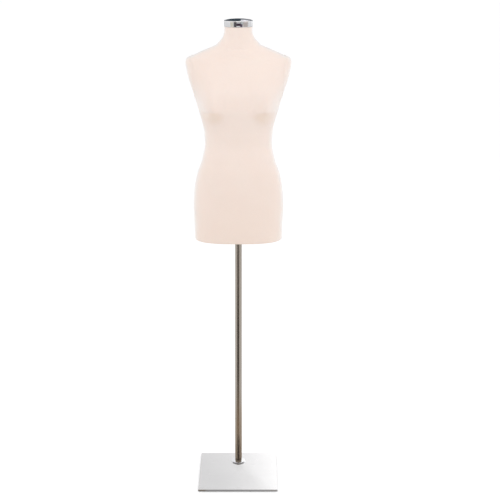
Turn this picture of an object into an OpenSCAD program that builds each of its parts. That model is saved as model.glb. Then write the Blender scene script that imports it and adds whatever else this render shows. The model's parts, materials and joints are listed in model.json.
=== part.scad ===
// Dress form on a pole stand: a moulded two-half torso shell with foam padding and a
// stretch jersey cover, a lift-off neck cap, and a square flat base. The torso swivels on
// a clamp collar that slides along the pole and is locked by a thumb knob under the torso.
// Origin: on the pole axis at floor level. +Z up. The front of the form faces -Y.

/* [Torso] */
// Height of the hem above the floor at the mid setting of the stand
hem_z = 807; // [795:1:825]
// Width at the hips
hip_w = 326; // [312:1:336]
// Width at the waist
waist_w = 244; // [234:1:254]
// Width at the bust line
bust_w = 302; // [292:1:310]
// Width across the shoulders
shoulder_w = 385; // [375:1:395]
// Diameter of the neck at its top edge
neck_d = 103.6; // [102:0.2:106]
// How far each bust cup stands proud of the chest
bust_out = 36; // [24:1:40]
// Distance from the centre line to each bust point
bust_x = 98; // [88:1:102]

/* [Layers] */
// Thickness of the jersey cover
jersey_t = 1.0; // [0.8:0.1:1.2]
// Thickness of the foam padding
foam_t = 4.0; // [3.5:0.1:4.2]
// Thickness of the moulded shell
shell_t = 2.5; // [2:0.1:2.6]
// Free gap between two layers
layer_gap = 0.3; // [0.2:0.05:0.35]

/* [Stand] */
// Side of the square base plate
plate_w = 270; // [250:5:300]
// Thickness of the base plate
plate_t = 6; // [5:0.5:8]
// Distance from the pole forward to the middle of the plate
plate_shift = 75; // [0:5:80]
// Outside diameter of the pole
pole_d = 24; // [23.8:0.1:24]
// Length of the pole
pole_len = 1192; // [1150:1:1210]
// Diameter of the ring round the foot of the pole
rosette_d = 49; // [44:1:56]

/* [Neck cap] */
// Diameter of the cap's side band
cap_d = 101; // [99:0.5:102]
// Height of the cap's side band
cap_band = 21; // [17:1:25]
// Rise of the cap's domed top
cap_dome = 6.5; // [4:0.5:10]

/* [Hidden] */

eps = 0.01;                // overlap of joined or cut solids
over = 1;                  // how far a cut runs past the face it opens
fit = 0.05;                // gap between parts that touch
run_gap = 0.06;            // radial running clearance on the pole

pole_r = pole_d / 2;
neck_h = 759;              // hem to neck top
neck_y = -8;               // the neck leans forward of the pole

// ------------------------------------------------------------------ round parts and holes
module rod(z, h, r, sides) {
    translate([0, 0, z]) cylinder(h = h, r = r, $fn = sides);
}

module taper(z, h, r1, r2, sides) {
    translate([0, 0, z]) cylinder(h = h, r1 = r1, r2 = r2, $fn = sides);
}

// Cut right through a part of height h that starts at z.
module bore(z, h, r, sides) { rod(z - over, h + 2 * over, r, sides); }

// Cut upwards from an underside at z.
module pit(z, depth, r, sides) { rod(z - over, depth + over, r, sides); }

// ------------------------------------------------------------------ body shape
// One row per level: height over the hem, half width, front, back, squareness.
HALF_W = 1;
FRONT = 2;
BACK = 3;
SQUARENESS = 4;
rows = [
    [0,   hip_w * 0.476,      -88,  102, 2.60],   // hem edge
    [5,   hip_w * 0.483,      -92,  105, 2.50],
    [60,  hip_w * 0.490,      -98,  113, 2.35],   // top of the thigh
    [117, hip_w * 0.500,      -101, 118, 2.30],   // hip line
    [180, hip_w * 0.490,      -104, 114, 2.30],
    [230, hip_w * 0.461,      -104, 104, 2.25],   // high hip
    [285, waist_w * 0.542,    -99,  90,  2.20],
    [344, waist_w * 0.500,    -92,  78,  2.15],   // waist
    [385, waist_w * 0.511,    -96,  80,  2.15],
    [430, bust_w * 0.445,     -106, 87,  2.20],   // under the bust
    [475, bust_w * 0.488,     -115, 95,  2.25],   // bust line
    [520, bust_w * 0.536,     -114, 101, 2.35],
    [565, shoulder_w * 0.461, -104, 104, 2.50],   // underarm
    [605, shoulder_w * 0.489, -90,  102, 2.60],
    [630, shoulder_w * 0.500, -79,  96,  2.60],   // widest point of the shoulder
    [642, shoulder_w * 0.494, -74,  91,  2.55],
    [648, shoulder_w * 0.479, -71,  88,  2.50],   // shoulder tip
    [655, shoulder_w * 0.432, -69,  85,  2.40],
    [664, shoulder_w * 0.385, -67,  80,  2.30],   // shoulder slope
    [673, shoulder_w * 0.333, -65,  74,  2.25],
    [683, shoulder_w * 0.272, -63,  67,  2.15],
    [694, neck_d * 0.790,     -62,  58,  2.10],   // neck base
    [706, neck_d * 0.676,     -61,  51,  2.05],
    [722, neck_d * 0.563,     -60,  46,  2.00],
    [738, neck_d * 0.512,     neck_y - neck_d * 0.505, neck_y + neck_d * 0.505, 2.00],
    [neck_h, neck_d * 0.500,  neck_y - neck_d * 0.500, neck_y + neck_d * 0.500, 2.00]
];
last = len(rows) - 1;

// Smooth curve through one column of the table, with no overshoot between rows.
function row_below(z, i = 0) = (i >= last - 1 || z < rows[i + 1][0]) ? i : row_below(z, i + 1);
function row_gap(i) = rows[i + 1][0] - rows[i][0];
function slope(i, column) = (rows[i + 1][column] - rows[i][column]) / row_gap(i);
function tangent(i, column) =
    i == 0 ? slope(0, column) : i == last ? slope(last - 1, column) :
    let (below = slope(i - 1, column), above = slope(i, column),
         gap_below = row_gap(i - 1), gap_above = row_gap(i))
    below * above <= 0 ? 0 :
    3 * (gap_below + gap_above)
    / ((2 * gap_above + gap_below) / below + (gap_above + 2 * gap_below) / above);
function at(z, column) =
    let (i = row_below(z), gap = row_gap(i), t = (z - rows[i][0]) / gap)
    (1 + 2 * t) * (1 - t) * (1 - t) * rows[i][column]
    + t * (1 - t) * (1 - t) * gap * tangent(i, column)
    + t * t * (3 - 2 * t) * rows[i + 1][column]
    + t * t * (t - 1) * gap * tangent(i + 1, column);

function signed_pow(v, power) = sign(v) * pow(abs(v), power);
function bell(v, spread) = exp(-(v / spread) * (v / spread));
// Two bells, mirrored about the centre line.
function bell_pair(x, mid, spread) = bell(x - mid, spread) + bell(x + mid, spread);
// A bell in height with its own spread on each side of its middle.
function bell_z(z, mid, below, above) = bell(z - mid, z > mid ? above : below);

// Bust cups, with the cover bridging between them; fuller below, long slope above.
bridge_out = 7;
function bust(x, z) =
    bust_out * bell_pair(x, mid = bust_x, spread = 38) * bell_z(z, mid = 472, below = 32, above = 98)
    + bridge_out * bell(x, spread = 50) * bell_z(z, mid = 480, below = 75, above = 80);

// Seat and shoulder blades.
seat_out = 9;
blade_out = 5;
function seat(x, z) =
    seat_out * bell_pair(x, mid = 66, spread = 52) * bell(z - 112, spread = 78)
    + blade_out * bell_pair(x, mid = 82, spread = 48) * bell(z - 560, spread = 75);

// A point of the outer surface at an angle (0 is +X, 90 the back) and height z over the hem.
// The bulges fade out towards the sides.
function skin(angle, z) =
    let (s = sin(angle), front = at(z, FRONT), back = at(z, BACK),
         power = 2 / at(z, SQUARENESS),
         x = at(z, HALF_W) * signed_pow(cos(angle), power),
         y = (front + back) / 2 + (back - front) / 2 * signed_pow(s, power),
         fade = min(1, abs(s) * 2.5))
    [x, s < 0 ? y - fade * bust(x, z) : y + fade * seat(x, z), z];

// Outward normal, made level towards the hem and the neck edge so that those edges stay flat.
level_zone = 30;
function unit(v) = v / norm(v);
function outward(angle, z) =
    let (mid_z = max(0.6, min(neck_h - 0.6, z)),
         around = skin(angle + 0.6, z) - skin(angle - 0.6, z),
         upward = skin(angle, mid_z + 0.5) - skin(angle, mid_z - 0.5),
         normal = unit(cross(around, upward)),
         tilt = max(0, min(1, z / level_zone, (neck_h - z) / level_zone)))
    unit([normal[0], normal[1], normal[2] * tilt]);

function inside(angle, z, depth) =
    skin(angle, z) - depth * outward(angle, z) + [0, 0, hem_z];

// ------------------------------------------------------------------ layer meshes
// Heights over the hem at which every layer has a ring of points.
levels = [12, 25, 36, 60, 88, 117, 148, 180, 230, 285, 315, 344, 385, 408, 425, 439, 452, 465,
          479, 497, 520, 565, 605, 630, 642, 648, 655, 664, 673, 683, 694, 706, 722, 738];
neck_top = neck_h - 0.5;
layer_bottom = 4;
steps_round = 40;
half_round = steps_round / 2;

function reversed(list) = [for (i = [len(list) - 1:-1:0]) list[i]];
// Rings are [height over the hem, depth inside the surface].
function rings_at(heights, depth) = [for (z = heights) [z, depth]];

// The two triangles of one patch. Patches of the loop that run up the inside are split along the
// same diagonal as those that run down the outside, so nested layers keep their gap everywhere.
function patch(p, q, r, s, up) = up ? [[p, q, s], [q, r, s]] : [[p, q, r], [p, r, s]];

// Faces over a loop of rings with `columns` points each, `steps` patches along each ring.
function loop_faces(rings, columns, steps) = [
    for (i = [0:len(rings) - 1]) for (j = [0:steps - 1])
        let (next_i = (i + 1) % len(rings), next_j = (j + 1) % columns)
        each patch(i * columns + j, i * columns + next_j,
                   next_i * columns + next_j, next_i * columns + j,
                   rings[next_i][0] > rings[i][0])];

// A closed sleeve from a loop of rings.
module sleeve(rings) {
    points = [for (ring = rings) for (j = [0:steps_round - 1])
        inside(360 * j / steps_round, ring[0], ring[1])];
    polyhedron(points, loop_faces(rings, steps_round, steps_round), convexity = 6);
}

// A panel of the same loop, between two steps round the body, closed along both side
// edges, which stop edge_gap degrees short of those steps.
module part_sleeve(rings, first, end, edge_gap) {
    m = len(rings);
    steps = end - first;
    columns = steps + 1;
    points = [for (ring = rings) for (j = [0:steps])
        let (inset = j == 0 ? edge_gap : j == steps ? -edge_gap : 0)
        inside(360 * (first + j) / steps_round + inset, ring[0], ring[1])];
    edges = [for (i = [0:m / 2 - 2])
        let (p = i * columns, q = (i + 1) * columns,
             r = (m - 2 - i) * columns, s = (m - 1 - i) * columns)
        each [[p, q, r], [p, r, s],
              [r + steps, q + steps, p + steps], [s + steps, r + steps, p + steps]]];
    polyhedron(points, concat(loop_faces(rings, columns, steps), edges), convexity = 6);
}

// Down the outside of a layer and back up its inside.
function layer(outer, inner) = concat(
    [[neck_top, outer]], rings_at(reversed(levels), outer), [[layer_bottom, outer]],
    [[layer_bottom, inner]], rings_at(levels, inner), [[neck_top, inner]]);

// ------------------------------------------------------------------ torso layers
// Depths of the layer faces below the surface. Names in _near are nearer the surface.
foam_near = jersey_t + layer_gap;
foam_far = foam_near + foam_t;
shell_near = foam_far + layer_gap;
shell_far = shell_near + shell_t;
lip_near = shell_far + 0.4;
lip_far = lip_near + jersey_t;

lip_h = 25;                // height of the turned-in hem
lip_heights = [layer_bottom, 12, lip_h];
tape_heights = [12, lip_h, 30];

// Cover: outside from neck to hem, round the rim, up inside as a turned-in hem, and back.
module jersey_cover() {
    color([0.97, 0.91, 0.87])
    sleeve(concat(
        [[neck_top, 0]], rings_at(reversed(levels), 0),
        [[layer_bottom, 0], [0, 1.5], [0, lip_far]],
        rings_at(lip_heights, lip_far),
        rings_at(reversed(lip_heights), lip_near),
        [[1, lip_near], [1, jersey_t + 0.8], [layer_bottom, jersey_t]],
        rings_at(levels, jersey_t), [[neck_top, jersey_t]]));
}

module hem_tape() {
    color([0.93, 0.86, 0.80])
    sleeve(concat(rings_at(reversed(tape_heights), lip_far + 0.15),
                  rings_at(tape_heights, lip_far + 0.8)));
}

module foam_padding() {
    color([0.95, 0.93, 0.85]) sleeve(layer(foam_near, foam_far));
}

module shell_half(first, end) {
    color([0.85, 0.83, 0.78])
    part_sleeve(layer(shell_near, shell_far), first, end, edge_gap = 0.15);
}
module shell_front() { shell_half(half_round, steps_round); }
module shell_back() { shell_half(0, half_round); }

// Bonded tape over the inside of each side joint.
strip_t = 1;
strip_near = shell_far + 0.35;
strip_levels = [for (z = levels) if (z >= 60 && z <= 605) z];
module shell_joint_strips() {
    rings = concat(rings_at(reversed(strip_levels), strip_near),
                   rings_at(strip_levels, strip_near + strip_t));
    color([0.8, 0.8, 0.74])
    for (joint = [0, half_round]) part_sleeve(rings, joint - 1, joint + 1, edge_gap = 2);
}

// ------------------------------------------------------------------ torso bottom
panel_level = 36;          // underside of the panel over the hem
panel_z = hem_z + panel_level;
panel_t = 12;
flange_t = 4;
flange_z = panel_z - flange_t;
flange_r = 45;
flange_pcd = 66;           // pitch circle diameter of the flange screws
sleeve_r = 16;
sleeve_in = 14;
sleeve_len = 160;
bush_h = 22;
upper_bush_lip = 2;

cleat_h = 22;
// Centre x and y, then width along X and along Y.
cleats = [
    [134,  6,   16, 40],
    [-134, 6,   16, 40],
    [0,    -70, 40, 16],
    [0,    84,  40, 16]
];

module at_flange_screws() {
    for (a = [45:90:315]) rotate(a) translate([flange_pcd / 2, 0, 0]) children();
}
module at_cleats() { for (c = cleats) translate([c[0], c[1], 0]) children(); }

module bottom_panel() {
    outline = [for (a = [0:2:358])
        let (p = inside(a, panel_level, shell_far + 1.4)) [p[0], p[1]]];
    color([0.80, 0.66, 0.46]) difference() {
        translate([0, 0, panel_z]) linear_extrude(panel_t) polygon(outline);
        bore(panel_z, panel_t, sleeve_r + 0.3, 96);
        at_flange_screws() pit(panel_z, panel_t - 2, 2.5, 48);
        at_cleats() bore(panel_z, panel_t, 2.2, 48);
        at_cleats() taper(panel_z - eps, 2.6, 4.4, 2.2, 48);
    }
}

// Block with a blind screw hole in its underside.
module cleat(width_x, width_y) {
    difference() {
        translate([-width_x / 2, -width_y / 2, 0]) cube([width_x, width_y, cleat_h]);
        pit(0, 16, 2.0, 48);
    }
}

module panel_cleats() {
    color([0.76, 0.61, 0.42])
    for (c = cleats) translate([c[0], c[1], panel_z + panel_t + fit]) cleat(c[2], c[3]);
}

// Flat-head wood screw with a cross slot, head down at z = 0, point up.
module wood_screw(head_r, shank_r, head_h, length) {
    tip_h = 3;
    slot_w = 0.9;
    slot_depth = 1.2;
    difference() {
        union() {
            cylinder(h = head_h, r1 = head_r, r2 = shank_r, $fn = 48);
            rod(head_h - eps, length - head_h - tip_h, shank_r, 48);
            taper(length - tip_h - 2 * eps, tip_h, shank_r, 0.3, 48);
        }
        for (a = [0, 90]) rotate(a) translate([-head_r * 0.55, -slot_w / 2, -over])
            cube([head_r * 1.1, slot_w, slot_depth + over]);
    }
}

module panel_screws() {
    color([0.75, 0.72, 0.62]) at_cleats() translate([0, 0, panel_z + 0.3])
        wood_screw(head_r = 3.9, shank_r = 1.95, head_h = 2.1, length = 27);
}

module mounting_flange() {
    color([0.72, 0.73, 0.75]) difference() {
        rod(flange_z, flange_t - fit, flange_r, 128);
        bore(flange_z, flange_t, sleeve_r + fit, 96);
        at_flange_screws() {
            bore(flange_z, flange_t, 2.7, 48);
            taper(flange_z - eps, 2.5, 5.1, 2.7, 48);
        }
    }
}

module flange_screws() {
    color([0.78, 0.78, 0.80]) at_flange_screws() translate([0, 0, flange_z + 0.1])
        wood_screw(head_r = 4.7, shank_r = 2.4, head_h = 2.2, length = 13.5);
}

module pole_sleeve() {
    color([0.70, 0.71, 0.73]) difference() {
        rod(flange_z, sleeve_len, sleeve_r, 96);
        bore(flange_z, sleeve_len, sleeve_in, 96);
    }
}

// Bearing ring inside the sleeve; a lip covers the sleeve's top edge.
module bush(z, lip) {
    color([0.18, 0.18, 0.19]) difference() {
        union() {
            rod(z, bush_h, sleeve_in - 0.03, 96);
            if (lip > 0) rod(z + bush_h - eps, lip, sleeve_r, 96);
        }
        bore(z, bush_h + lip, pole_r + run_gap, 96);
    }
}
module lower_bush() { bush(flange_z + 0.5, lip = 0); }
module upper_bush() { bush(flange_z + sleeve_len - bush_h + fit, lip = upper_bush_lip); }

// ------------------------------------------------------------------ clamp collar
washer_space = 2;
collar_h = 25;
collar_r = 21;
collar_bevel = 1;
collar_top = flange_z - washer_space;
collar_z = collar_top - collar_h;
clamp_z = collar_z + collar_h / 2;
boss_r = 9;
boss_out = 28;
thread_r = 4;

pad_y = pole_r + fit;
pad_len = 3;
screw_y = pad_y + pad_len + fit;
screw_pin_len = 1.3;
knob_y = pole_r + 25;
knob_len = 16;
knob_r = 11;
knob_neck_len = 4;

// Along the clamp axis: local +Z points to the back, starting y behind the pole axis.
module along_y(y) { translate([0, y, clamp_z]) rotate([-90, 0, 0]) children(); }

module height_collar() {
    color([0.80, 0.81, 0.83]) difference() {
        union() {
            translate([0, 0, collar_z]) rotate_extrude($fn = 128)
                polygon([[5, 0], [collar_r - collar_bevel, 0], [collar_r, collar_bevel],
                         [collar_r, collar_h - collar_bevel],
                         [collar_r - collar_bevel, collar_h], [5, collar_h]]);
            along_y(0) cylinder(h = boss_out, r = boss_r, $fn = 96);
        }
        bore(collar_z, collar_h, pole_r + run_gap, 96);
        along_y(0) cylinder(h = boss_out + 2, r = thread_r, $fn = 64);
    }
}

module thrust_washer() {
    color([0.93, 0.93, 0.90]) difference() {
        rod(collar_top + fit, washer_space - 2 * fit, 22, 128);
        bore(collar_top, washer_space, pole_r + 0.2, 96);
    }
}

// Pressed on the pole by the screw, whose pin sits in its socket.
module clamp_pad() {
    color([0.93, 0.93, 0.90]) along_y(pad_y) difference() {
        cylinder(h = pad_len, r = 3.7, $fn = 64);
        rod(1.6, 3, 1.6, 48);
    }
}

module clamp_screw() {
    color([0.78, 0.78, 0.80]) along_y(screw_y) {
        cylinder(h = 35, r = thread_r - 0.06, $fn = 64);
        rod(-screw_pin_len, screw_pin_len + eps, 1.5, 48);
    }
}

// Fluted knob on a short neck, with a blind hole for the screw.
module clamp_knob() {
    color([0.10, 0.10, 0.11]) along_y(knob_y) difference() {
        union() {
            cylinder(h = knob_neck_len, r = 7.5, $fn = 64);
            rod(knob_neck_len - eps, knob_len - knob_neck_len, knob_r, 96);
        }
        for (a = [0:45:315]) rotate(a) translate([knob_r + 1.2, 0, 3])
            cylinder(h = knob_len, r = 2.6, $fn = 32);
        pit(0, knob_len - 2, thread_r, 64);
    }
}

// ------------------------------------------------------------------ stand
pad_t = 2;
pad_h = pad_t - 0.02;
pad_inset = 22;            // plate edge to the centre of a corner pad
plate_top = pad_t + plate_t;
plate_corner_r = 2;
bolt_r = 4.95;
bolt_hole_r = 5.3;
bolt_head_h = 5;
tube_in = pole_r - 1.5;
rosette_r = rosette_d / 2;

module rounded_square(width, r, h) {
    corner = width / 2 - r;
    signs = [[1, 1], [-1, 1], [-1, -1], [1, -1]];
    linear_extrude(h) polygon([for (q = [0:3]) for (a = [0:15:90])
        corner * signs[q] + r * [cos(a + 90 * q), sin(a + 90 * q)]]);
}

module base_plate() {
    color([0.86, 0.86, 0.87]) difference() {
        translate([0, -plate_shift, pad_t]) rounded_square(plate_w, plate_corner_r, plate_t);
        bore(pad_t, plate_t, bolt_hole_r, 64);
        taper(pad_t - eps, 5.2, 10.6, bolt_hole_r, 64);
    }
}

// One pad at each corner, and one under the head of the pole's bolt.
module foot_pads() {
    reach = plate_w / 2 - pad_inset;
    color([0.12, 0.12, 0.12]) {
        for (sx = [-1, 1]) for (sy = [-1, 1])
            translate([sx * reach, -plate_shift + sy * reach, 0])
                cylinder(h = pad_h, r = 10, $fn = 64);
        cylinder(h = pad_h, r = 13, $fn = 64);
    }
}

// Countersunk bolt with a hex socket, head down.
module pole_bolt() {
    color([0.75, 0.75, 0.77]) translate([0, 0, pad_t + 0.2]) difference() {
        union() {
            cylinder(h = bolt_head_h, r1 = 10, r2 = bolt_r, $fn = 64);
            rod(bolt_head_h - eps, 27, bolt_r, 64);
        }
        pit(0, 3.6, 3.45, 6);
    }
}

module pole_foot_plug() {
    color([0.62, 0.63, 0.65]) difference() {
        rod(plate_top + fit, 30, tube_in - fit, 96);
        pit(plate_top, 39, bolt_r + fit, 64);
    }
}

module pole_rosette() {
    hole_r = pole_r + 0.1;
    color([0.85, 0.85, 0.86]) translate([0, 0, plate_top + 0.02]) rotate_extrude($fn = 128)
        polygon([[hole_r, 0], [rosette_r, 0], [rosette_r, 2.4], [rosette_r - 0.5, 3.1],
                 [rosette_r - 1.6, 3.6], [pole_r + 1.2, 4.4], [hole_r, 4.4]]);
}

module pole_tube() {
    color([0.66, 0.62, 0.57]) translate([0, 0, plate_top + fit]) difference() {
        cylinder(h = pole_len, r = pole_r, $fn = 96);
        bore(0, pole_len, tube_in, 96);
    }
}

// Plug inside the tube, with a bevelled disc on top.
module pole_end_cap() {
    plug_len = 14;
    lift = 0.1;
    rim_r = pole_r - 0.1;
    color([0.12, 0.12, 0.13]) translate([0, 0, plate_top + pole_len]) {
        rod(-plug_len, plug_len + lift + eps, tube_in - 0.06, 96);
        translate([0, 0, lift]) rotate_extrude($fn = 96)
            polygon([[0, 0], [rim_r, 0], [rim_r, 1.5], [pole_r - 1.5, 3], [0, 3]]);
    }
}

// ------------------------------------------------------------------ neck
// Heights in this section are over the neck top.
plug_r = 12;
plug_z = -33;              // underside of the plug's stem
plug_disc_z = cap_band - 13;
cap_screw_z = -29;
cap_screw_head_h = 3;
cap_screw_r = 2.5;

cap_sheet = 1.2;
cap_r = cap_d / 2;
cap_in = cap_r - cap_sheet;
cap_bottom = 0.1;
dome_edge = cap_r - 1;
dome_edge_rise = 1.2;      // dome's edge over the top of the side band
dome_rise = cap_dome - dome_edge_rise;
dome_r = (dome_edge * dome_edge + pow(dome_rise, 2)) / (2 * dome_rise);

// Rolled edge, downwards: distance outside the band, height over the top of the band.
cap_roll = [[0.8, 0.9], [1.4, 0.3], [1.6, -0.5], [1.3, -1.3], [0.6, -1.9], [0, -2.2]];

module at_neck() { translate([0, neck_y, hem_z + neck_h]) children(); }

module neck_block() {
    color([0.78, 0.64, 0.45]) at_neck() difference() {
        rod(-46, 44, neck_d / 2 - shell_far - 1.2, 96);
        rod(-36, 40, plug_r + 0.1, 96);
    }
}

// Half profile of the pressed cap: shallow dome, rolled edge that stands proud, side band.
function dome(r, drop) =
    [r, cap_band + cap_dome - drop - (dome_r - sqrt(dome_r * dome_r - r * r))];
module neck_cap() {
    outer = concat(
        [for (r = [0:8:dome_edge - 2]) dome(r, 0)], [dome(dome_edge, 0)],
        [for (p = cap_roll) [cap_r + p[0], cap_band + p[1]]], [[cap_r, cap_bottom]]);
    inner = concat(
        [[cap_in, cap_bottom], [cap_in, cap_band - 2]],
        [for (r = [cap_r - 6:-8:8]) dome(r, cap_sheet)], [dome(0, cap_sheet)]);
    color([0.90, 0.91, 0.93]) at_neck() rotate_extrude($fn = 160) polygon(concat(outer, inner));
}

// Disc inside the cap, on a stem that drops into the neck block.
module cap_plug() {
    color([0.20, 0.20, 0.21]) at_neck() difference() {
        union() {
            rod(plug_disc_z, 10, cap_in - 0.5, 96);
            rod(plug_z, plug_disc_z - plug_z + eps, plug_r, 96);
        }
        pit(plug_z, cap_band + 26, cap_screw_r + 0.1, 48);
        pit(plug_z, 7, 5.4, 48);
    }
}

// Hex socket screw up the stem, head down.
module cap_screw() {
    color([0.78, 0.78, 0.80]) at_neck() difference() {
        union() {
            rod(cap_screw_z, cap_screw_head_h, 4.8, 64);
            rod(cap_screw_z + cap_screw_head_h - eps, cap_band + 18, cap_screw_r, 48);
        }
        pit(cap_screw_z, 2, 2.2, 6);
    }
}

base_plate();
foot_pads();
pole_bolt();
pole_foot_plug();
pole_rosette();
pole_tube();
pole_end_cap();
height_collar();
thrust_washer();
clamp_pad();
clamp_screw();
clamp_knob();
jersey_cover();
hem_tape();
foam_padding();
shell_front();
shell_back();
shell_joint_strips();
bottom_panel();
panel_cleats();
panel_screws();
mounting_flange();
flange_screws();
pole_sleeve();
lower_bush();
upper_bush();
neck_block();
neck_cap();
cap_plug();
cap_screw();
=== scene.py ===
import json
import math

import bpy
import numpy as np
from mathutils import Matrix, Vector


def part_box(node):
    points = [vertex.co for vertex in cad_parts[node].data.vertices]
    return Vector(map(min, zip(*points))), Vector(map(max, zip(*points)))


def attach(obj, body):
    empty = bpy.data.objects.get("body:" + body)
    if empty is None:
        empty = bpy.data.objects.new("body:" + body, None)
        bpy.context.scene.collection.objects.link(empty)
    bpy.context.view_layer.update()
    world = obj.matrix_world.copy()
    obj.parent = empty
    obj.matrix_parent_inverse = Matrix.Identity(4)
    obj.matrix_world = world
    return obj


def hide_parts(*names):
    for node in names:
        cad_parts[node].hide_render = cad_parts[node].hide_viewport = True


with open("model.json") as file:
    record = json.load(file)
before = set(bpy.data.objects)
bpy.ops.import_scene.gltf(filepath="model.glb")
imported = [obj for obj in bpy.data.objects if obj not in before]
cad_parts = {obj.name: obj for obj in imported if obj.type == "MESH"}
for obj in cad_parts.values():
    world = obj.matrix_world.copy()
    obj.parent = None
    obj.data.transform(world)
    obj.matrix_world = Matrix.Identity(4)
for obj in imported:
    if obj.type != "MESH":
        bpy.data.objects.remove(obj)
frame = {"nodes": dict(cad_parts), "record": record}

scene = bpy.context.scene
nodes = frame["nodes"]
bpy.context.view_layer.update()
MM = 0.001

# ------------------------------------------------------------------ mesh helpers


def link(obj):
    scene.collection.objects.link(obj)
    return obj


def make_mesh(name, verts, faces, material=None, smooth=True):
    me = bpy.data.meshes.new(name)
    me.from_pydata([tuple(map(float, v)) for v in verts], [], [tuple(map(int, f)) for f in faces])
    me.update()
    if material is not None:
        me.materials.append(material)
    if smooth:
        me.polygons.foreach_set("use_smooth", [True] * len(me.polygons))
    return link(bpy.data.objects.new(name, me))


def lathe(name, profile, material, centre=(0, 0), segs=160, closed=True):
    """Turns a profile of (radius, z) in metres about a vertical axis. Points on the axis become one vertex."""
    verts, rings = [], []
    for r, z in profile:
        if r < 1e-7:
            rings.append([len(verts)])
            verts.append((centre[0], centre[1], z))
        else:
            rings.append(list(range(len(verts), len(verts) + segs)))
            for j in range(segs):
                a = 2 * math.pi * j / segs
                verts.append((centre[0] + r * math.cos(a), centre[1] + r * math.sin(a), z))
    faces = []
    pairs = list(zip(rings, rings[1:]))
    if closed:
        pairs.append((rings[-1], rings[0]))
    for a, b in pairs:
        if len(a) == 1 and len(b) == 1:
            continue
        for j in range(segs):
            k = (j + 1) % segs
            if len(a) == 1:
                faces.append((a[0], b[j], b[k]))
            elif len(b) == 1:
                faces.append((a[j], b[0], a[k]))
            else:
                faces.append((a[j], b[j], b[k], a[k]))
    obj = make_mesh(name, verts, faces, material)
    return obj


def apply_modifiers(obj):
    dg = bpy.context.evaluated_depsgraph_get()
    me = bpy.data.meshes.new_from_object(obj.evaluated_get(dg), preserve_all_data_layers=True, depsgraph=dg)
    old = obj.data
    obj.modifiers.clear()
    obj.data = me
    bpy.data.meshes.remove(old)
    return obj


def coords(me):
    co = np.empty(len(me.vertices) * 3, np.float64)
    me.vertices.foreach_get("co", co)
    return co.reshape(-1, 3)


def set_coords(me, co):
    me.vertices.foreach_set("co", np.ascontiguousarray(co, np.float32).ravel())
    me.update()


# ------------------------------------------------------------------ materials


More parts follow.
